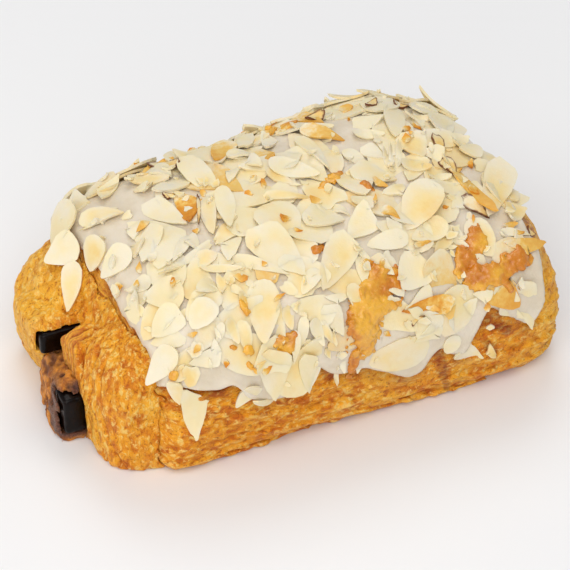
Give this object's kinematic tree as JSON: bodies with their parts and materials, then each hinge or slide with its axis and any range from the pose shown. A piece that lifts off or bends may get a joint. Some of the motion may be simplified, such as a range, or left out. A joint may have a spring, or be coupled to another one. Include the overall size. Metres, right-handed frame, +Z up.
{
  "type": "chocolate almond croissant",
  "caption": "Rolled flaky pastry with chocolate bars running through it, white icing over its top and a thick cover of flaked almonds.",
  "frame": {"origin": "middle of the object's box, on the surface that it rests on", "axes": "+X along the roll from the end that shows the chocolate, +Z up, -Y out of the front long side"},
  "size_m": [0.1256, 0.0774, 0.0515],
  "materials": {
    "crust": "baked golden brown crust with an egg wash sheen",
    "chocolate": "dark chocolate, satin",
    "almond": "pale cream almond slices, dull",
    "icing": "set white sugar icing, soft gloss",
    "caramel": "browned sugar, grainy and glossy"
  },
  "bodies": {
    "root": {"pastry": "crust", "baton_upper": "chocolate", "baton_lower": "chocolate", "icing_and_almonds": "almond"}
  },
  "joints": []
}
